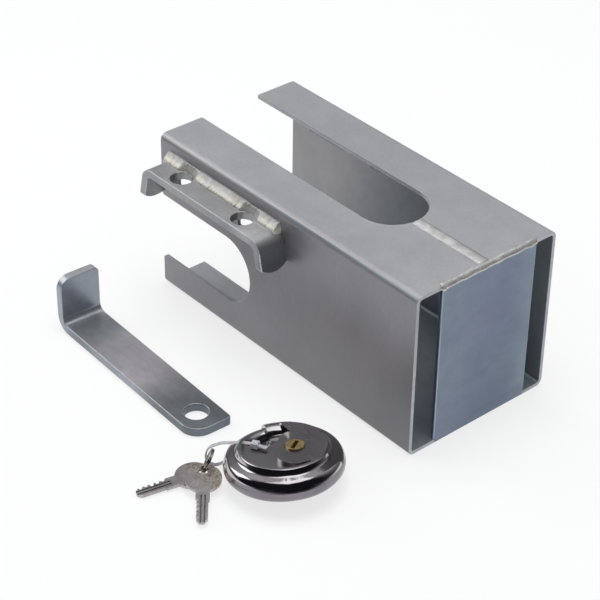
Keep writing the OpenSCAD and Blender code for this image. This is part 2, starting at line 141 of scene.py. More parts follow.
def sweep(bm, places, sides, closed=False):
    """Skins a row of (matrix, half width, half thickness) stations. A closed sweep
    joins its last station to its first, and any other gets a cap at each end."""
    rings = [ring_at(bm, m, sides, w, t) for m, w, t in places]
    pairs = list(zip(rings, rings[1:]))
    if closed:
        pairs.append((rings[-1], rings[0]))
    for a, b in pairs:
        bmesh.ops.bridge_loops(bm, edges=a + b)
    if not closed:
        for end in (rings[0], rings[-1]):
            bmesh.ops.holes_fill(bm, edges=end, sides=0)
    bmesh.ops.recalc_face_normals(bm, faces=bm.faces)


def closed_curve(points, steps):
    """Points of a soft closed curve through the given ones."""
    n = len(points)
    out = []
    for i in range(n):
        p = [points[(i + k) % n] for k in (-1, 0, 1, 2)]
        for s in range(steps):
            t = s / steps
            out.append(0.5 * ((2 * p[1]) + (p[2] - p[0]) * t
                              + (2 * p[0] - 5 * p[1] + 4 * p[2] - p[3]) * t * t
                              + (3 * p[1] - p[0] - 3 * p[2] + p[3]) * t ** 3))
    return out


# ---------------------------------------------------------------- shader helpers

class Sheet:
    """Short way to place and wire shader nodes in one tree."""

    def __init__(self, tree):
        self.tree = tree

    def add(self, kind, values=None, **props):
        node = self.tree.nodes.new(kind)
        for k, v in props.items():
            setattr(node, k, v)
        for k, v in (values or {}).items():
            self.put(node.inputs[k], v)
        return node

    def put(self, socket, value):
        """Wires an output into the socket, or sets a plain value."""
        if isinstance(value, bpy.types.NodeSocket):
            self.tree.links.new(value, socket)
            return
        if socket.type == "RGBA" and len(value) == 3:
            value = (*value, 1.0)
        socket.default_value = value

    def math(self, operation, a, b=0.0, clamp=False):
        return self.add("ShaderNodeMath", {0: a, 1: b}, operation=operation,
                        use_clamp=clamp).outputs[0]

    def total(self, a, b, share_a=1.0, share_b=1.0):
        """a and b added, each times its share."""
        if share_a != 1.0:
            a = self.math("MULTIPLY", a, share_a)
        if share_b != 1.0:
            b = self.math("MULTIPLY", b, share_b)
        return self.math("ADD", a, b)

    def spread(self, value, low, high, to_low=0.0, to_high=1.0):
        """Eases from one value to another while the input goes from low to high."""
        node = self.add("ShaderNodeMapRange", {"Value": value, "From Min": low,
                        "From Max": high, "To Min": to_low, "To Max": to_high},
                        interpolation_type="SMOOTHSTEP")
        return node.outputs["Result"]

    def blend(self, amount, a, b, how="MIX"):
        node = self.add("ShaderNodeMix", data_type="RGBA", blend_type=how)
        for i, v in ((0, amount), (6, a), (7, b)):
            self.put(node.inputs[i], v)
        return node.outputs[2]

    def noise(self, vector, scale, detail=3.0, rough=0.55, distort=0.0):
        return self.add("ShaderNodeTexNoise", {"Vector": vector, "Scale": scale,
                        "Detail": detail, "Roughness": rough,
                        "Distortion": distort}).outputs[0]

    def stretch(self, vector, by):
        return self.add("ShaderNodeVectorMath", {0: vector, 1: by},
                        operation="MULTIPLY").outputs[0]

    def coords(self, kind="Object"):
        return self.add("ShaderNodeTexCoord").outputs[kind]

    def parts(self, vector):
        """The X, Y and Z of a vector."""
        return self.add("ShaderNodeSeparateXYZ", {0: vector}).outputs


def node_group(name, inputs, outputs, build):
    """A shader group; inputs are (name, kind, value), outputs are (name, kind)."""
    tree = bpy.data.node_groups.new(name, "ShaderNodeTree")
    kinds = {"value": "NodeSocketFloat", "vector": "NodeSocketVector",
             "colour": "NodeSocketColor"}
    for n, kind, value in inputs:
        s = tree.interface.new_socket(name=n, in_out="INPUT", socket_type=kinds[kind])
        if value is not None:
            s.default_value = (*value, 1.0) if kind == "colour" else value
    for n, kind in outputs:
        tree.interface.new_socket(name=n, in_out="OUTPUT", socket_type=kinds[kind])
    sheet = Sheet(tree)
    came = sheet.add("NodeGroupInput").outputs
    goes = sheet.add("NodeGroupOutput")
    for n, v in build(sheet, came).items():
        sheet.put(goes.inputs[n], v)
    return tree


def mottle_build(s, i):
    big = s.noise(i["Vector"], i["Size"], 4.0, 0.6, 0.4)
    fine = s.noise(i["Vector"], s.math("MULTIPLY", i["Size"], 6.3), 2.0, 0.6)
    patch = s.spread(big, 0.38, 0.66)
    crumb = s.spread(fine, 0.35, 0.68)
    mask = s.total(patch, crumb, 0.72, 0.28)
    return {"Color": s.blend(mask, i["Low tone"], i["High tone"]), "Mask": mask}


def grain_build(s, i):
    v = s.stretch(i["Vector"], i["Stretch"])
    lines = s.noise(v, i["Scale"], 4.0, 0.62)
    wide = s.noise(v, s.math("MULTIPLY", i["Scale"], 0.23), 2.0, 0.5)
    return {"Mask": s.spread(s.total(lines, wide, 0.6, 0.4), 0.34, 0.66)}


def specks_build(s, i):
    cells = s.add("ShaderNodeTexVoronoi", {"Vector": i["Vector"], "Scale": i["Scale"],
                  "Randomness": 1.0}, feature="F1")
    size = s.add("ShaderNodeSeparateColor", {"Color": cells.outputs["Color"]}).outputs[0]
    edge = s.math("MULTIPLY", s.math("POWER", size, 5.0), i["Amount"])
    near = s.math("SUBTRACT", edge, cells.outputs["Distance"])
    return {"Mask": s.spread(near, 0.0, 0.06)}


MOTTLE = node_group("zinc mottle", [("Vector", "vector", None), ("Size", "value", 30.0),
                    ("Low tone", "colour", (0.3, 0.3, 0.3)),
                    ("High tone", "colour", (0.5, 0.5, 0.5))],
                    [("Color", "colour"), ("Mask", "value")], mottle_build)
GRAIN = node_group("rolled grain", [("Vector", "vector", None),
                   ("Stretch", "vector", (1.0, 1.0, 1.0)), ("Scale", "value", 200.0)],
                   [("Mask", "value")], grain_build)
SPECKS = node_group("specks", [("Vector", "vector", None), ("Scale", "value", 200.0),
                    ("Amount", "value", 0.3)], [("Mask", "value")], specks_build)


def use(s, tree, values):
    """Places a shader group and gives its outputs."""
    node = s.add("ShaderNodeGroup", node_tree=tree)
    for k, v in values.items():
        s.put(node.inputs[k], v)
    return node.outputs


def empty_nodes(owner):
    """Clears the nodes of a material or world and gives a sheet to fill."""
    owner.use_nodes = True
    owner.node_tree.nodes.clear()
    return Sheet(owner.node_tree)


def material(name, build, metallic, **sockets):
    """A Principled material. The build function gives its varying sockets by name, and
    the Height and Depth of its fine relief."""
    mat = bpy.data.materials.new(name)
    s = empty_nodes(mat)
    shader = s.add("ShaderNodeBsdfPrincipled", {"Metallic": metallic})
    for k, v in sockets.items():
        s.put(shader.inputs[k.replace("_", " ").title()], v)
    made = build(s, s.coords())
    bump = s.add("ShaderNodeBump", {"Strength": 1.0, "Distance": made.pop("Depth"),
                 "Height": made.pop("Height")})
    for k, v in made.items():
        s.put(shader.inputs[k], v)
    s.put(shader.inputs["Normal"], bump.outputs["Normal"])
    s.add("ShaderNodeOutputMaterial", {0: shader.outputs[0]})
    return mat


def length_tones(axis, *stops):
    """Tones one after another along an axis (0 for X): (place in millimetres, tone) pairs."""
    def build(s, c):
        place = s.parts(c)[axis]
        tone = stops[0][1]
        for (a, _), (b, after) in zip(stops, stops[1:]):
            tone = s.blend(s.spread(place, a * MM, b * MM), tone, after)
        return tone
    return build


ZINC_METALLIC = 0.7
ZINC_RELIEF = 0.00001       # depth of the grain, in metres
GRAIN_SCALE = 420.0
SPECK_SCALE = 360.0


def zinc(name, low, high, tint, size, stretch, rough, grain=0.05, speck=0.2, cloud=0.1,
         shade=None, painted_top_light=None):
    """Zinc-plated steel: soft clouds between a low and a high tone, rolled grain along
    the axis with the smallest stretch, a tint in patches and small specks. shade tones it
    by place; faces that look up get two lighter tones, painted light on them."""
    def build(s, c):
        m = use(s, MOTTLE, {"Vector": c, "Size": size, "Low tone": low, "High tone": high})
        g = use(s, GRAIN, {"Vector": c, "Stretch": stretch, "Scale": GRAIN_SCALE})["Mask"]
        k = use(s, SPECKS, {"Vector": c, "Scale": SPECK_SCALE, "Amount": speck})["Mask"]
        patch = s.spread(s.noise(c, size * 0.42, 3.0, 0.5), 0.45, 0.68)
        colour = s.blend(s.math("MULTIPLY", patch, 0.6), m["Color"], tint)
        # painted light: faces that look up blend into the lighter top tones
        if painted_top_light is not None:
            facing = s.parts(s.coords("Normal"))[2]
            top = use(s, MOTTLE, {"Vector": c, "Size": size, "Low tone": painted_top_light[0],
                                  "High tone": painted_top_light[1]})["Color"]
            colour = s.blend(s.spread(facing, 0.35, 0.95), colour, top)
        drawn = s.stretch(c, tuple(0.4 + 0.6 * v for v in stretch))
        wide = s.spread(s.noise(drawn, 9.0, 2.0, 0.5), 0.3, 0.7, 1.0 - cloud, 1.0 + cloud)
        lined = s.math("MULTIPLY", wide, s.spread(g, 0.0, 1.0, 1.0 - grain, 1.0 + grain))
        colour = s.blend(1.0, colour, s.add("ShaderNodeCombineColor",
                         {0: lined, 1: lined, 2: lined}).outputs[0], "MULTIPLY")
        colour = s.blend(s.math("MULTIPLY", k, 0.35), colour,
                         tuple(min(v * 1.35, 0.85) for v in high))
        if shade is not None:
            colour = s.blend(1.0, colour, shade(s, c), "MULTIPLY")
        even = s.spread(m["Mask"], 0.0, 1.0, rough - 0.04, rough + 0.04)
        return {"Base Color": colour, "Roughness": s.total(even, g, 1.0, 0.04),
                "Height": s.total(g, m["Mask"], 0.8, 0.4), "Depth": ZINC_RELIEF}
    return material(name, build, ZINC_METALLIC)


def closed_end_painted_shade(s, c):
    """Painted shade: the outside sheet is darker low down towards the closed end."""
    x, _, z = s.parts(c)
    t = s.math("MULTIPLY", s.spread(x, -150 * MM, 10 * MM), s.spread(z, 100 * MM, 55 * MM))
    return s.blend(t, (1.0, 1.0, 1.03), (0.72, 0.7, 0.715))


# painted light and shade: lighter tones on the faces that look up, and painted shade low down
# towards the closed end
sheet_outer = zinc("zinc sheet outside", (0.27, 0.265, 0.275), (0.31, 0.305, 0.315),
                   (0.26, 0.265, 0.28), 14.0, (1.0, 1.0, 0.3), 0.44, grain=0.035, cloud=0.07,
                   shade=closed_end_painted_shade, painted_top_light=((0.53, 0.53, 0.535), (0.56, 0.56, 0.565)))
# painted shade inside: darker away from the open end, a little lighter again by the closed
# end's gaps; painted light on the inside faces that look up
sheet_inside = zinc("zinc sheet inside", (0.28, 0.285, 0.30), (0.33, 0.335, 0.345),
                    (0.26, 0.29, 0.31), 12.0, (0.3, 1.0, 0.2), 0.45,
                    shade=length_tones(0, (-175, (1.1, 1.06, 1.06)), (-60, (0.62, 0.69, 0.74)),
                                       (0, (0.9, 0.98, 1.0))),
                    painted_top_light=((0.44, 0.46, 0.48), (0.50, 0.52, 0.54)))
sheet_edge = zinc("zinc cut edge", (0.38, 0.39, 0.41), (0.47, 0.48, 0.50),
                  (0.36, 0.39, 0.42), 60.0, (1.0, 1.0, 1.0), 0.38, grain=0.08)
plate_zinc = zinc("bluish plate zinc", (0.17, 0.21, 0.28), (0.225, 0.275, 0.345),
                  (0.195, 0.20, 0.30), 20.0, (1.0, 0.12, 0.3), 0.38, speck=0.1, cloud=0.08,
                  shade=length_tones(1, (-30, (1.02, 1.03, 1.0)), (-5, (0.92, 0.92, 0.96)),
                                     (20, (0.9, 0.92, 0.96)), (42, (1.12, 1.15, 1.08))))
# painted highlight on the end plate's rounded edges
plate_edge_painted_highlight = zinc("bluish plate edge painted highlight", (0.30, 0.36, 0.42), (0.36, 0.42, 0.48),
                  (0.30, 0.35, 0.43), 16.0, (1.0, 1.0, 1.0), 0.34, speck=0.1)
# painted light and shade along the strip: lighter towards the right bend, a painted highlight
# on that bend and painted shade on the right tab; painted light on the faces that look up
strip_zinc = zinc("bracket zinc", (0.30, 0.30, 0.31), (0.37, 0.37, 0.38),
                  (0.29, 0.30, 0.32), 40.0, (0.15, 1.0, 1.0), 0.33,
                  shade=length_tones(0, (-200, (0.95, 0.95, 0.96)), (-150, (1.0, 1.0, 1.0)),
                                     (-115, (1.1, 1.1, 1.1)), (-95, (1.35, 1.34, 1.35)),
                                     (-86, (1.0, 1.0, 1.0)), (-80, (0.6, 0.62, 0.65))),
                  painted_top_light=((0.44, 0.44, 0.45), (0.52, 0.52, 0.53)))
# painted reflection: lighter and darker bands along the bar; painted light on the faces that
# look up
bar_zinc = zinc("bar zinc", (0.27, 0.29, 0.32), (0.33, 0.35, 0.38),
                (0.28, 0.29, 0.32), 30.0, (0.3, 1.0, 1.0), 0.33, cloud=0.08,
                shade=length_tones(0, (-200, (1.2, 1.24, 1.32)), (-188, (0.74, 0.78, 0.82)),
                                   (-178, (0.7, 0.74, 0.78)), (-160, (1.05, 1.02, 1.06)),
                                   (-125, (1.2, 1.16, 1.2)), (-90, (0.52, 0.55, 0.57)),
                                   (-55, (0.56, 0.61, 0.65))),
                painted_top_light=((0.42, 0.42, 0.43), (0.50, 0.50, 0.51)))
# painted highlight on rounded edges of the bracket and the bar
edge_painted_highlight = zinc("zinc edge painted highlight", (0.50, 0.51, 0.53), (0.62, 0.63, 0.65),
                   (0.46, 0.48, 0.50), 60.0, (1.0, 1.0, 1.0), 0.3, grain=0.06)


def weld_build(s, c, shade=None):
    """Bare weld metal with soot and bright specks."""
    m = use(s, MOTTLE, {"Vector": c, "Size": 120.0, "Low tone": (0.55, 0.545, 0.53),
                        "High tone": (0.76, 0.76, 0.73)})
    k = use(s, SPECKS, {"Vector": c, "Scale": 300.0, "Amount": 0.35})["Mask"]
    soot = s.spread(s.noise(c, 60.0, 3.0, 0.6), 0.55, 0.72)
    colour = s.blend(s.math("MULTIPLY", soot, 0.4), m["Color"], (0.38, 0.37, 0.36))
    colour = s.blend(s.math("MULTIPLY", k, 0.5), colour, (0.78, 0.78, 0.77))
    if shade is not None:
        colour = s.blend(1.0, colour, shade(s, c), "MULTIPLY")
    return {"Base Color": colour, "Roughness": s.spread(m["Mask"], 0.0, 1.0, 0.34, 0.46),
            "Height": m["Mask"], "Depth": 0.0001}


weld_metal = material("weld metal", weld_build, 0.7)
# painted light and shade on the hollow fillet: lighter low down by the strip, darker up by the
# wall
fillet_painted_light_and_shade = length_tones(2, (99.4, (0.92, 0.91, 0.86)), (102.8, (0.6, 0.6, 0.63)))
fillet_metal = material("fillet weld metal", lambda s, c: weld_build(s, c, fillet_painted_light_and_shade), 0.6)
seam_tones = length_tones(1, (-5.7, (0.4, 0.4, 0.42)), (-4.7, (1.05, 1.05, 1.06)),
                          (0.6, (0.95, 0.95, 0.96)), (1.6, (0.8, 0.8, 0.82)),
                          (2.7, (0.42, 0.42, 0.44)))
seam_metal = material("seam weld metal", lambda s, c: weld_build(s, c, seam_tones), 0.6)


TURNED_SCALE = 1800.0
POLISH_RELIEF = 0.000008    # depth of the turned rings, in metres


def polished(name, tone, dull, rough, rings=0.0, centre=(0.0, 0.0)):
    """Polished steel with smears, and faint turned rings round a centre in X and Y."""
    def build(s, c):
        smear = s.spread(s.noise(c, 45.0, 4.0, 0.6, 0.6), 0.35, 0.7)
        fine = s.noise(s.stretch(c, (1.0, 0.12, 1.0)), 900.0, 2.0, 0.5)
        colour = s.blend(s.math("MULTIPLY", smear, 0.5), tone, dull)
        place = s.parts(c)
        x, y = (s.math("SUBTRACT", place[i], centre[i]) for i in (0, 1))
        r = s.math("SQRT", s.total(s.math("MULTIPLY", x, x), s.math("MULTIPLY", y, y)))
        turning = s.add("ShaderNodeTexNoise", {"W": r, "Scale": TURNED_SCALE, "Detail": 3.0},
                        noise_dimensions="1D").outputs[0]
        return {"Base Color": colour,
                "Roughness": s.spread(smear, 0.0, 1.0, rough, rough + 0.07),
                "Height": s.total(turning, fine, rings, 0.3), "Depth": POLISH_RELIEF}
    return material(name, build, 1.0)


# where the loose padlock lies: tilted on its sloping back about a level axis
LOCK_TILT = 8.16
TILT_AXIS = math.radians(-12.27)
LOCK_LIES = moved(0.61, -123.38, 1.57) @ turned(
    LOCK_TILT, Vector((math.sin(TILT_AXIS), -math.cos(TILT_AXIS), 0)))
LOOSE = Vector((-5.2, -121.0, 0.0))     # the tie's and ring's own shift, in millimetres
lock_middle = LOCK_LIES @ at(0, 0, 20)
lock_centre = (lock_middle.x, lock_middle.y)
stainless = polished("polished stainless", (0.54, 0.52, 0.54), (0.38, 0.36, 0.38), 0.1,
                     0.6, centre=lock_centre)
# painted reflection: the rim and the back are darker, as if a dim floor showed in them
rim_steel_painted_dim = polished("polished stainless back painted dim", (0.25, 0.235, 0.26), (0.17, 0.16, 0.18), 0.1,
                     0.5, centre=lock_centre)
plateau_steel = polished("satin stainless face", (0.50, 0.485, 0.505), (0.40, 0.39, 0.405),
                         0.24, 1.4, centre=lock_centre)
dish_steel = polished("dull stainless floor", (0.46, 0.46, 0.465), (0.34, 0.34, 0.345),
                      0.3, 1.0, centre=lock_centre)
shackle_steel = polished("polished shackle steel", (0.56, 0.55, 0.57), (0.4, 0.4, 0.41), 0.12)
ring_steel = polished("polished spring steel", (0.56, 0.55, 0.53), (0.36, 0.35, 0.34), 0.14)
pin_steel = polished("plain steel", (0.55, 0.55, 0.56), (0.42, 0.42, 0.43), 0.25)


def cast_build(s, c):
    m = use(s, MOTTLE, {"Vector": c, "Size": 120.0, "Low tone": (0.05, 0.05, 0.052),
                        "High tone": (0.10, 0.10, 0.105)})
    return {"Base Color": m["Color"], "Roughness": s.spread(m["Mask"], 0, 1, 0.5, 0.65),
            "Height": m["Mask"], "Depth": 0.0002}


def brass_build(low, high):
    def build(s, c):
        m = use(s, MOTTLE, {"Vector": c, "Size": 260.0, "Low tone": low, "High tone": high})
        g = use(s, GRAIN, {"Vector": c, "Stretch": (1.0, 0.2, 1.0), "Scale": 900.0})["Mask"]
        return {"Base Color": m["Color"], "Roughness": s.spread(g, 0, 1, 0.26, 0.4),
                "Height": g, "Depth": 0.00002}
    return build


cast_steel = material("dark cast steel", cast_build, 0.6)
brass = material("plain brass", brass_build((0.50, 0.37, 0.15), (0.66, 0.50, 0.22)), 0.95)
plug_brass = material("plug brass", brass_build((0.52, 0.38, 0.15), (0.85, 0.66, 0.32)), 0.9)


def nylon_build(s, c):
    m = use(s, MOTTLE, {"Vector": c, "Size": 150.0, "Low tone": (0.36, 0.35, 0.37),
                        "High tone": (0.52, 0.51, 0.53)})
    return {"Base Color": m["Color"], "Roughness": s.spread(m["Mask"], 0, 1, 0.3, 0.42),
            "Height": m["Mask"], "Depth": 0.00005}


nylon = material("clear grey nylon", nylon_build, 0.0, subsurface_weight=0.25,
                 subsurface_scale=0.0015)


def nickel_build(s, c):
    """Dull nickel, gritty and warmer round the hole in the head."""
    m = use(s, MOTTLE, {"Vector": c, "Size": 150.0, "Low tone": (0.36, 0.335, 0.345),
                        "High tone": (0.54, 0.51, 0.525)})
    g = use(s, GRAIN, {"Vector": c, "Stretch": (1.0, 0.25, 1.0), "Scale": 700.0})["Mask"]
    grit = s.noise(c, 650.0, 2.0, 0.6)
    near_hole = s.spread(s.parts(c)[1], -167 * MM, -160 * MM)
    gritty = s.blend(s.spread(grit, 0.38, 0.62), (0.24, 0.205, 0.16), (0.56, 0.52, 0.44))
    colour = s.blend(s.math("MULTIPLY", near_hole, 0.85), m["Color"], gritty)
    return {"Base Color": colour, "Roughness": s.spread(g, 0, 1, 0.26, 0.36),
            "Height": s.total(g, m["Mask"], 0.5), "Depth": 0.00001}


key_nickel = material("key nickel", nickel_build, 0.95)
# painted shade on the floors of the grooves in the key blades
key_groove_painted_shade = zinc("key groove painted shade", (0.10, 0.095, 0.10), (0.17, 0.16, 0.165), (0.13, 0.125, 0.13),
                  300.0, (1.0, 1.0, 1.0), 0.4)


# ---------------------------------------------------------------- the box

# in millimetres
INSIDE_Y = 54.2             # faces within these bounds are inside the box
INSIDE_Z = (1.2, 109.8)
ROOF_UNDERSIDE = 108.2      # the roof slot's cut faces are above this and no further out
SLOT_REACH = 30.0
STEEP = 0.7                 # part of a face's normal that makes it a cut face


def make_box_shell():
    bm = merged_copy("box_shell")
    break_edges(bm, 0.35, 50.0, 2)
    for f in bm.faces:
        c, n = f.calc_center_median() / MM, f.normal
        inner = abs(c.y) < INSIDE_Y and INSIDE_Z[0] < c.z < INSIDE_Z[1]
        slot_face = (inner and c.z > ROOF_UNDERSIDE and abs(n.z) < STEEP
                     and abs(c.y) < SLOT_REACH)
        f.material_index = 2 if abs(n.x) > STEEP or slot_face else 1 if inner else 0
    finish_piece("folded_box", bm, [sheet_outer, sheet_inside, sheet_edge], "box",
                 ["box_shell"])


LOW_EDGE = 5.0              # the end plate's edge below this is left to its bead
TALL_EDGE = 60.0            # an edge that reaches this high is one of its sides


def make_end_plate():
    def above_low_bead(edge):
        heights = [v.co.z / MM for v in edge.verts]
        return min(heights) > LOW_EDGE or max(heights) > TALL_EDGE

    bm = merged_copy("end_plate")
    # the rounded edges above the low bead get the painted highlight
    break_edges(bm, 0.7, 50.0, 3, above_low_bead, slot=1)
    finish_piece("closing_plate", bm, [plate_zinc, plate_edge_painted_highlight], "box", ["end_plate"])


TAB_ENDS = 89.0             # the bracket's tab edges get a painted highlight below this, in millimetres


def make_bracket():
    bm = merged_copy("guard_bracket")
    break_edges(bm, 0.8, 50.0, 3, slot=1)
    # the rounded edges keep their painted highlight low on the tabs and along the top front
    # edge
    for f in bm.faces:
        low_down = f.calc_center_median().z < TAB_ENDS * MM
        if not (low_down or f.normal.z > 0.2 and f.normal.y < -0.2):
            f.material_index = 0
    finish_piece("guard_strip", bm, [strip_zinc, edge_painted_highlight], "box", ["guard_bracket"])


BEAD_STEP = 0.45            # between the stations of a bead, in millimetres
BEAD_TIP = 1.6              # length over which each end of a bead tapers
BEAD_TIP_SHARE = 0.25       # of its full size at the very end
RIPPLE = 0.16               # heights of the ripples, the lumps and the fine bumps
LUMP = 0.14
BUMP = 0.03
RIPPLE_BOW = 0.16           # how far the ripples curve back towards the sides
BURIED = -0.2               # a bead is left smooth below this height


def bead_run(start, end, side, up, shape, pitch, seed, sides=16, rough=1.0, hollow=0.0):
    """A ripple-topped weld bead from start to end, in millimetres; shape(d) gives the
    half width, the height and the sideways shift at a distance d along the run. pitch is
    the length of one ripple and rough their strength. A hollow bead sinks between its
    two legs."""
    bm = bmesh.new()
    start, end = Vector(start), Vector(end)
    run = (end - start).length
    along = (end - start).normalized()
    side, up = Vector(side), Vector(up)
    count = int(run / BEAD_STEP)
    places = []
    for i in range(count + 1):
        d = i / count * run
        w, h, shift = shape(d)
        cut = min(1.0, BEAD_TIP_SHARE + d / BEAD_TIP, BEAD_TIP_SHARE + (run - d) / BEAD_TIP)
        w, h = w * cut, h * cut
        p = start + along * d + side * shift
        places.append((frame_from(p * MM, along, side), w * MM, h * MM))
    sweep(bm, places, sides)
    for v in bm.verts:
        p = v.co / MM
        d = (p - start).dot(along)
        across = (p - start).dot(side)
        rise = (p - start).dot(up)
        if hollow and across > 0 and rise > 0:
            lift = min(across, rise) * hollow
            v.co -= (side + up) * lift * MM
        ripple = (d + RIPPLE_BOW * across * across) / pitch + 0.35 * wobble(d * 0.21, seed, 0.5)
        saw = ripple - math.floor(ripple)
        amount = RIPPLE * (smooth_step(abs(2 * saw - 1)) - 0.5) \
            + LUMP * wobble(p.x * 0.35, p.y * 0.35 + seed, p.z * 0.35) \
            + BUMP * wobble(p.x * 1.6 + seed, p.y * 1.6, p.z * 1.6)
        if rise > BURIED:
            amount *= rough
            v.co += (up * amount + side * amount * 0.5 * (1 if across > 0 else -1)) * MM
    return bm


def finish_bead(name, bm, metal, node):
    finish_piece(name, bm, [metal], "box", [node], 70.0, False)


SEAM_X = (-28.8, 27.6)
SEAM_Y = -1.3
SEAM_Z = 110.85


def make_seam():
    def shape(d):
        return (4.2 + 0.2 * wobble(d * 0.3, 3.1, 0.0), 1.1 + 0.08 * wobble(d * 0.5, 9.0, 1.0),
                0.2 * wobble(d * 0.15, 5.0, 2.0))

    start, end = ((x, SEAM_Y, SEAM_Z) for x in SEAM_X)
    bm = bead_run(start, end, (0, 1, 0), (0, 0, 1), shape, 1.5, 4.0)
    finish_bead("top_seam_bead", bm, seam_metal, "seam_weld")


TOP_BEAD = (28.8, 110.2)    # X and Z of the bead along the end plate's top edge
LOW_BEAD = (28.55, 3.7)     # and of the dressed one along its bottom edge
FLOOR_GAP = 0.3             # the lowest that bead may reach


def make_end_beads():
    def swelling(d, centre, reach):
        return math.exp(-((d - centre) / reach) ** 2)

    def top(d):
        lump = 0.55 * swelling(d, 3.0, 2.4) + 0.6 * swelling(d, 72.0, 2.2)
        return (2.1 + 0.32 * wobble(d * 0.24, 1.3, 4.0) + lump,
                1.15 + 0.1 * wobble(d * 0.4, 2.0, 0.0) + 0.4 * lump,
                0.3 * wobble(d * 0.17, 8.0, 0.0))

    def low(d):
        return (7.0 + 0.3 * wobble(d * 0.3, 6.3, 4.0),
                1.1 + 0.05 * wobble(d * 0.4, 2.6, 0.0), 0.0)

    x, z = TOP_BEAD
    bm = bead_run((x, -37.4, z), (x, 39.6, z), (-0.76, 0, 0.65), (0.65, 0, 0.76),
                  top, 2.0, 7.0)
    finish_bead("top_edge_bead", bm, weld_metal, "end_weld_top")
    x, z = LOW_BEAD
    bm = bead_run((x, -35.4, z), (x, 39.4, z), (0, 0, 1), (1, 0, 0),
                  low, 2.2, 2.0, sides=32, rough=0.25)
    for v in bm.verts:
        v.co.z = max(v.co.z, FLOOR_GAP * MM)
    finish_bead("low_edge_bead", bm, plate_zinc, "end_weld_bottom")


FILLET_X = (-194.4, -85.6)
BRACKET_HOLES_X = (-169.0, -110.3)
HOLE_REACH = 6.4            # half the length of fillet that a hole cuts into
NEAR_WALL_Y = -55.0
STRIP_TOP = 98.0


def make_bracket_weld():
    def shape(d):
        x = FILLET_X[0] + d
        cut = max(math.exp(-(abs(x - hole) / HOLE_REACH) ** 4) for hole in BRACKET_HOLES_X)
        grow = 0.3 * wobble(d * 0.16, 2.2, 0.0) + 0.12 * wobble(d * 0.5, 4.2, 0.0)
        return (5.6 + grow - 3.3 * cut, 5.4 + 0.8 * grow - 0.6 * cut, 0.0)

    start, end = ((x, NEAR_WALL_Y, STRIP_TOP) for x in FILLET_X)
    bm = bead_run(start, end, (0, -1, 0), (0, 0, 1), shape, 2.6, 11.0, sides=28, hollow=0.27)
    finish_bead("bracket_fillet", bm, fillet_metal, "bracket_weld")


# ---------------------------------------------------------------- bar and padlock

LEG_FOOT = 9.0              # the bar's upward edges get a painted highlight up to here, in millimetres


def make_bar():
    bm = merged_copy("locking_bar")
    break_edges(bm, 0.8, 50.0, 3, slot=1)
    # the rounded edges keep their painted highlight where they look up, low on the long arm
    for f in bm.faces:
        if f.normal.z < 0.3 or f.calc_center_median().z > LEG_FOOT * MM:
            f.material_index = 0
    finish_piece("bent_bar", bm, [bar_zinc, edge_painted_highlight], "bar", ["locking_bar"])


# in the padlock's own frame, in millimetres
FACE_Z = 22.2               # its flat face lies above this
DISH_Z = 14.0               # the dish's floor lies above this and within the radius
DISH_R = 24.0
RIM_Z = 13.6                # the rim and back are below this


def make_lock_shells():
    back = LOCK_LIES.inverted()
    up = LOCK_LIES.to_3x3() @ Vector((0, 0, 1))

    def finish_of(f):
        """0 for the polished slopes, 1 for the face, 2 for the dish, 3 for the rim, painted
        darker as a dim reflection.
        """
        c = (back @ f.calc_center_median()) / MM
        flat = f.normal.dot(up) > 0.96
        if flat and c.z > FACE_Z:
            return 1
        if flat and c.z > DISH_Z and math.hypot(c.x, c.y) < DISH_R:
            return 2
        return 3 if c.z < RIM_Z else 0

    bm = merged_copy("lock_front_shell")
    break_edges(bm, 0.5, 40.0, 3)
    for f in bm.faces:
        f.material_index = finish_of(f)
    finish_piece("lock_front", bm, [stainless, plateau_steel, dish_steel, rim_steel_painted_dim], "padlock",
                 ["lock_front_shell"], 40.0)
    bm = merged_copy("lock_rear_shell")
    break_edges(bm, 0.4, 40.0, 2)
    finish_piece("lock_rear", bm, [rim_steel_painted_dim], "padlock", ["lock_rear_shell"],
                 40.0)


SHACKLE_Z = 12.5            # level of the shackle in the padlock, in millimetres
SHACKLE_R = 28.4
SHACKLE_ROD_R = 4.9
SHACKLE_FROM = 146.0        # angle of its first end, and its sweep from there
SHACKLE_SWEEP = 139.0


def make_shackle():
    bm = bmesh.new()
    place = moved(0, 0, SHACKLE_Z) @ turned(SHACKLE_FROM, "Z") @ moved(SHACKLE_R, 0, 0) \
        @ turned(90, "X")
    bmesh.ops.create_circle(bm, cap_ends=False, segments=40, radius=SHACKLE_ROD_R * MM,
                            matrix=place)
    bmesh.ops.spin(bm, geom=bm.edges[:] + bm.verts[:], cent=at(0, 0, SHACKLE_Z),
                   axis=(0, 0, 1), angle=math.radians(SHACKLE_SWEEP), steps=100,
                   use_merge=False, use_duplicate=False)
    rims = [e for e in bm.edges if e.is_boundary]
    bmesh.ops.holes_fill(bm, edges=rims, sides=0)
    bmesh.ops.recalc_face_normals(bm, faces=bm.faces)
    bmesh.ops.bevel(bm, geom=rims, offset=0.9 * MM, offset_type="OFFSET", affect="EDGES",
                    segments=3, profile=0.5, material=-1)
    bmesh.ops.transform(bm, matrix=LOCK_LIES, verts=bm.verts)
    finish_piece("round_shackle", bm, [shackle_steel], "shackle", ["shackle"],
                 40.0)


def make_plug():
    bm = merged_copy("key_plug")
    break_edges(bm, 0.18, 50.0, 2)
    finish_piece("turning_plug", bm, [plug_brass], "plug", ["key_plug"])


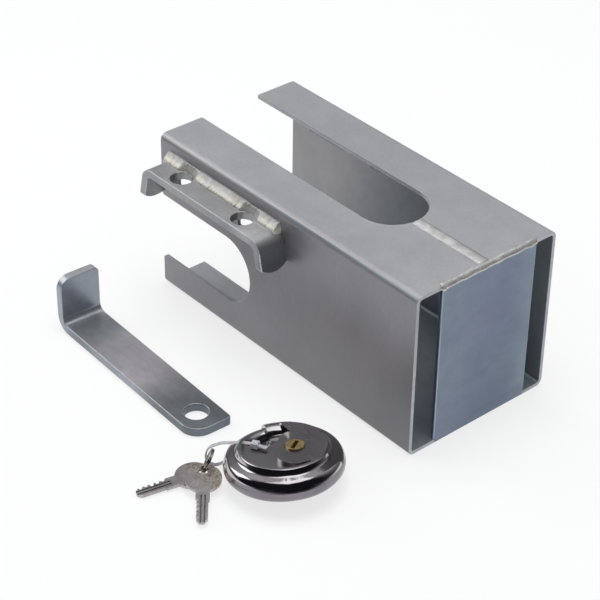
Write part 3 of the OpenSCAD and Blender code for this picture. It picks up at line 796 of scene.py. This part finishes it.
# middle of the tie's loop, in millimetres before its shift
TIE_ROUTE = [(-10.6, -10.5, 19.6), (-12.8, -11, 19.5), (-15.4, -11.9, 19),
             (-18.3, -13, 18.2), (-21.2, -14.4, 17.3), (-23.7, -15.5, 16.4),
             (-26.2, -17.3, 15.6), (-28.6, -20.1, 15.4), (-30, -23.5, 15.2),
             (-30.9, -27.4, 14.9), (-31.8, -29, 12.7), (-31.8, -30.1, 10.1),
             (-31, -30.3, 7.3), (-29.5, -29.1, 4.8), (-27.7, -26.6, 3.3),
             (-26.8, -22.8, 3.1), (-26.7, -19.6, 3.6), (-26.3, -17, 4.2),
             (-23.6, -15.2, 4.1), (-20.3, -13.5, 4.5), (-17, -12, 6.1), (-14.4, -10.7, 9.1),
             (-12.7, -10, 12.9), (-11.5, -9.9, 16.8), (-10.7, -10, 18.7)]


# the tie's head and its tail, in the padlock's own frame: middle, size, tilt, turn
TIE_BLOCKS = (((-12.7, -10.1, 21.6), (4.6, 4.6, 3.6), 0, 24),
              ((-8.4, -8.6, 21.4), (6.6, 2.6, 1.1), 4, 18))
STRAP_HALF_WIDTH = 1.3
STRAP_HALF_THICKNESS = 0.52
STRAP_TOOTH = 0.04          # height of the cross ribs along the strap


def make_tie():
    bm = bmesh.new()
    path = closed_curve([(Vector(p) + LOOSE) * MM for p in TIE_ROUTE], 4)
    n = len(path)
    side = Vector((0.62, -0.78, 0))
    places = [(frame_from(path[i], path[(i + 1) % n] - path[i - 1], side),
               STRAP_HALF_WIDTH * MM, (STRAP_HALF_THICKNESS + STRAP_TOOTH * (i % 2)) * MM)
              for i in range(n)]
    sweep(bm, places, 12, closed=True)
    for centre, size, tilt, turn in TIE_BLOCKS:
        place = LOCK_LIES @ moved(*centre) @ turned(turn, "Z") @ turned(tilt, "Y") \
            @ Matrix.Diagonal((*at(*size), 1))
        part = bmesh.new()
        bmesh.ops.create_cube(part, size=1.0, matrix=place)
        bmesh.ops.bevel(part, geom=part.edges[:], offset=0.4 * MM, offset_type="OFFSET",
                        affect="EDGES", segments=2, profile=0.5, material=-1)
        add = bpy.data.meshes.new("part")
        part.to_mesh(add)
        part.free()
        bm.from_mesh(add)
        bpy.data.meshes.remove(add)
    finish_piece("strap_tie", bm, [nylon], "padlock", ["cable_tie"], 50.0)


RING_MIDDLE = Vector((-28.5, -31.4, 7.85))  # in millimetres before its shift
RING_R = 7.5
RING_WIRE_R = 0.54
RING_LAYER = 1.09           # distance between its two turns
RING_FROM = 16.0            # angle of the wire's end, and its sweep from there
RING_SWEEP = 688.0
RING_STEPS = 175
RING_CROSSING = (342.0, 36.0)   # where the wire goes over to its second turn, and how long


def make_split_ring():
    bm = bmesh.new()
    place = Matrix.Translation((RING_MIDDLE + LOOSE) * MM) @ turned(40, "Z") @ turned(112, "Y")
    points = []
    for i in range(RING_STEPS + 1):
        a = RING_FROM + i / RING_STEPS * RING_SWEEP
        layer = RING_LAYER * (smooth_step((a - RING_CROSSING[0]) / RING_CROSSING[1]) - 0.5)
        r = math.radians(a)
        points.append(place @ at(RING_R * math.cos(r), RING_R * math.sin(r), layer))
    axis = place.to_3x3() @ Vector((0, 0, 1))
    before = points[:1] + points[:-1]
    after = points[1:] + points[-1:]
    places = [(frame_from(p, b - a, axis), RING_WIRE_R * MM, RING_WIRE_R * MM)
              for p, a, b in zip(points, before, after)]
    sweep(bm, places, 14)
    finish_piece("double_ring", bm, [ring_steel], "ring", ["split_ring"], 50.0)


GROOVE_AREA = (7.0, 40.0)   # size of a groove's floor in the blade, in square millimetres


def make_keys():
    for node in ("key_1", "key_2"):
        bm = merged_copy(node)
        break_edges(bm, 0.22, 50.0, 2)
        # painted shade on the groove floors
        for f in bm.faces:
            area = f.calc_area() / (MM * MM)
            in_groove = f.normal.z > 0.9 and GROOVE_AREA[0] < area < GROOVE_AREA[1]
            f.material_index = 1 if in_groove else 0
        finish_piece("cut_" + node, bm, [key_nickel, key_groove_painted_shade], node, [node])


# ---------------------------------------------------------------- assembly

make_box_shell()
make_end_plate()
make_bracket()
make_seam()
make_end_beads()
make_bracket_weld()
make_bar()
make_lock_shells()
make_shackle()
make_plug()
make_tie()
make_split_ring()
make_keys()

for node, finish in (("shackle_guide", cast_steel), ("cylinder_housing", brass),
                     ("driver_pins", pin_steel), ("pin_springs", pin_steel),
                     ("plug_pins", brass), ("plug_driver", cast_steel),
                     ("retaining_clip", pin_steel)):
    node_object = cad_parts[node]
    node_object.data.materials.clear()
    node_object.data.materials.append(finish)


# ---------------------------------------------------------------- studio

# the studio is in metres
FLOOR_HALF = 4.0
FLOOR_DROP = 0.0002         # keeps the floor clear of the undersides that lie on it
FLOOR_GLOW = 0.72           # share of the floor's look that is its own white
WALL_RINGS = ((1.7, 1.7, 0.02, 1.75), (1.7, 0.42, 1.75, 1.95))  # radii and heights
LAMPS = (  # name, place, aim, size, power, tone
    ("overhead", (-0.12, 0.05, 1.55), (-0.08, 0, 0), (1.0, 1.0), 16.0, (1, 1, 1)),
    ("left", (-1.3, -0.7, 0.9), (-0.1, 0, 0.05), (0.9, 0.9), 5.0, (1, 0.98, 0.95)))
PANEL_HALF = 0.5
PANEL_AT = (-0.12, 0.05, 1.56)
CAMERA_AT = (0.66589, -0.69163, 0.73485)
CAMERA_RIGHT = Vector((0.64849935, 0.76110993, 0.01266005))
CAMERA_DOWN = Vector((0.4419032, -0.36287495, -0.82039218))
CAMERA_AHEAD = Vector((-0.61981462, 0.53761831, -0.57166108))


def seen(s):
    """1 where the eye, a reflection or a view through glass meets the backdrop."""
    rays = s.add("ShaderNodeLightPath").outputs
    both = s.math("ADD", rays["Is Camera Ray"], rays["Is Glossy Ray"])
    return s.math("ADD", both, rays["Is Transmission Ray"], clamp=True)


def make_floor():
    bm = bmesh.new()
    bmesh.ops.create_grid(bm, x_segments=1, y_segments=1, size=FLOOR_HALF)
    mat = bpy.data.materials.new("pale floor")
    s = empty_nodes(mat)
    paper = s.add("ShaderNodeBsdfDiffuse", {"Color": (0.86, 0.86, 0.86)})
    glow = s.add("ShaderNodeEmission", {"Color": (1.0, 1.0, 1.0), "Strength": 1.0})
    both = s.add("ShaderNodeMixShader", {0: s.math("MULTIPLY", seen(s), FLOOR_GLOW),
                 1: paper.outputs[0], 2: glow.outputs[0]})
    s.add("ShaderNodeOutputMaterial", {0: both.outputs[0]})
    floor = mesh_object("floor", bm, [mat])
    floor.location = (0, 0, -FLOOR_DROP)


def only_in_metal(thing):
    """Leaves a stage piece visible in reflections alone."""
    for kind in ("camera", "diffuse", "transmission", "volume_scatter", "shadow"):
        setattr(thing, "visible_" + kind, False)


def make_dark_walls():
    """Dark walls and a ceiling with an opening overhead, which only metal shows. The
    deep side of the workshop is darker than the side with the pale sheets."""
    bm = bmesh.new()
    for low_r, high_r, low_z, high_z in WALL_RINGS:
        bmesh.ops.create_cone(bm, cap_ends=False, segments=96, radius1=low_r, radius2=high_r,
                              depth=high_z - low_z,
                              matrix=Matrix.Translation((-0.05, 0, (low_z + high_z) / 2)))
    mat = bpy.data.materials.new("dark wall")
    s = empty_nodes(mat)
    x, y, z = s.parts(s.coords())
    across = s.math("SUBTRACT", s.math("MULTIPLY", x, 0.69), s.math("MULTIPLY", y, 0.72))
    pale = s.blend(s.spread(z, 0.3, 1.9), (0.15, 0.15, 0.16), (0.5, 0.5, 0.5))
    tone = s.blend(s.spread(across, -1.0, 0.4), pale, (0.01, 0.01, 0.013))
    dim = s.add("ShaderNodeEmission", {"Color": tone, "Strength": 1.0})
    s.add("ShaderNodeOutputMaterial", {0: dim.outputs[0]})
    walls = mesh_object("dark_walls", bm, [mat])
    only_in_metal(walls)


def make_world():
    world = bpy.data.worlds.new("studio")
    scene.world = world
    s = empty_nodes(world)
    light = s.add("ShaderNodeBackground", {"Color": (0.93, 0.96, 1.0), "Strength": 0.5})
    white = s.add("ShaderNodeBackground", {"Color": (1.0, 1.0, 1.0), "Strength": 1.0})
    both = s.add("ShaderNodeMixShader", {0: seen(s), 1: light.outputs[0], 2: white.outputs[0]})
    s.add("ShaderNodeOutputWorld", {0: both.outputs[0]})


def make_lamps():
    for name, place, aim, size, power, tone in LAMPS:
        lamp = bpy.data.lights.new(name, "AREA")
        lamp.shape = "RECTANGLE"
        lamp.size, lamp.size_y = size
        lamp.energy = power
        lamp.color = tone
        lamp_object = placed(name, lamp)
        lamp_object.location = place
        facing = (Vector(aim) - Vector(place)).to_track_quat("-Z", "Y")
        lamp_object.rotation_euler = facing.to_euler()
        lamp_object.visible_glossy = name != "overhead"


def make_overhead_panel():
    """What metal shows in place of the overhead lamp, which would be too bright."""
    bm = bmesh.new()
    bmesh.ops.create_grid(bm, x_segments=1, y_segments=1, size=PANEL_HALF,
                          matrix=Matrix.Translation(PANEL_AT))
    mat = bpy.data.materials.new("pale panel")
    s = empty_nodes(mat)
    glow = s.add("ShaderNodeEmission", {"Color": (1.0, 1.0, 1.0), "Strength": 1.6})
    s.add("ShaderNodeOutputMaterial", {0: glow.outputs[0]})
    panel_object = mesh_object("overhead_panel", bm, [mat])
    only_in_metal(panel_object)


def make_camera():
    turn = Matrix((CAMERA_RIGHT, -CAMERA_DOWN, -CAMERA_AHEAD)).transposed().to_4x4()
    cam = bpy.data.cameras.new("camera")
    cam.sensor_width = 36.0
    cam.lens = 120.28
    cam.clip_start = 0.05
    cam_object = placed("camera", cam)
    cam_object.matrix_world = Matrix.Translation(CAMERA_AT) @ turn
    scene.camera = cam_object
    scene.view_settings.view_transform = "Standard"


make_floor()
make_dark_walls()
make_world()
make_lamps()
make_overhead_panel()
make_camera()
bpy.context.view_layer.update()
